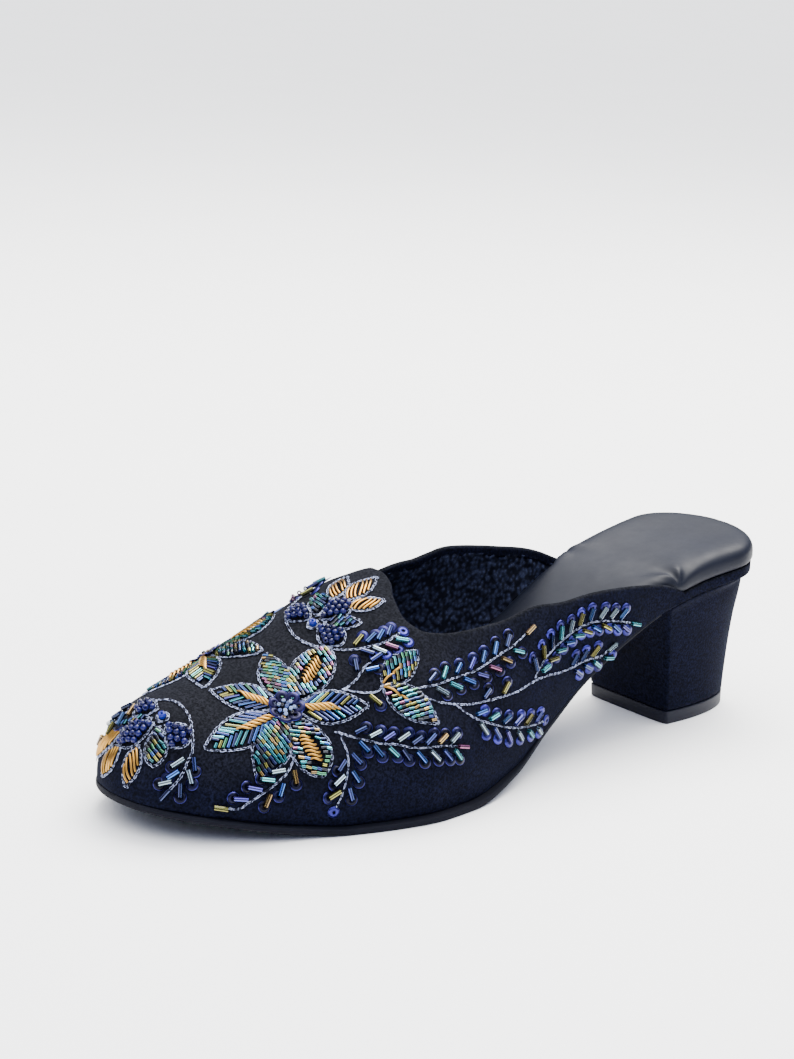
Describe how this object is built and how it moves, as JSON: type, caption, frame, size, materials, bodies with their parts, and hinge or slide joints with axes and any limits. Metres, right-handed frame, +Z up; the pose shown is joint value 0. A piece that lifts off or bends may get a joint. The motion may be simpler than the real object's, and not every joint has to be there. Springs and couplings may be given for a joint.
{
  "type": "heeled mule",
  "caption": "Closed-toe slip-on mule for the left foot, with a low throat, side wings, padded insole and wrapped block heel.",
  "frame": {"origin": "on the floor, under the middle of the whole shoe's bounding box", "axes": "+Y from toe to heel, +X to the outer side of the foot, +Z up"},
  "size_m": [0.0858, 0.2453, 0.0633],
  "materials": {
    "suede": "black suede, short nap",
    "lining": "black fleece",
    "insole_sheet": "smooth, satin sheen",
    "sole_rubber": "matte moulded",
    "beads": "iridescent glass beads and sequins",
    "gold_thread": "coiled metal thread",
    "silver_thread": "metallic chain stitch"
  },
  "bodies": {
    "root": {"upper": "suede", "insole": "insole_sheet", "midsole": "suede", "outsole": "sole_rubber", "heel": "suede", "top_piece": "sole_rubber", "flower_outer": "beads", "flower_inner": "beads", "leaf_pair_outer": "beads", "leaf_pair_inner": "beads", "throat_motif": "beads", "toe_motif": "beads"}
  },
  "joints": []
}
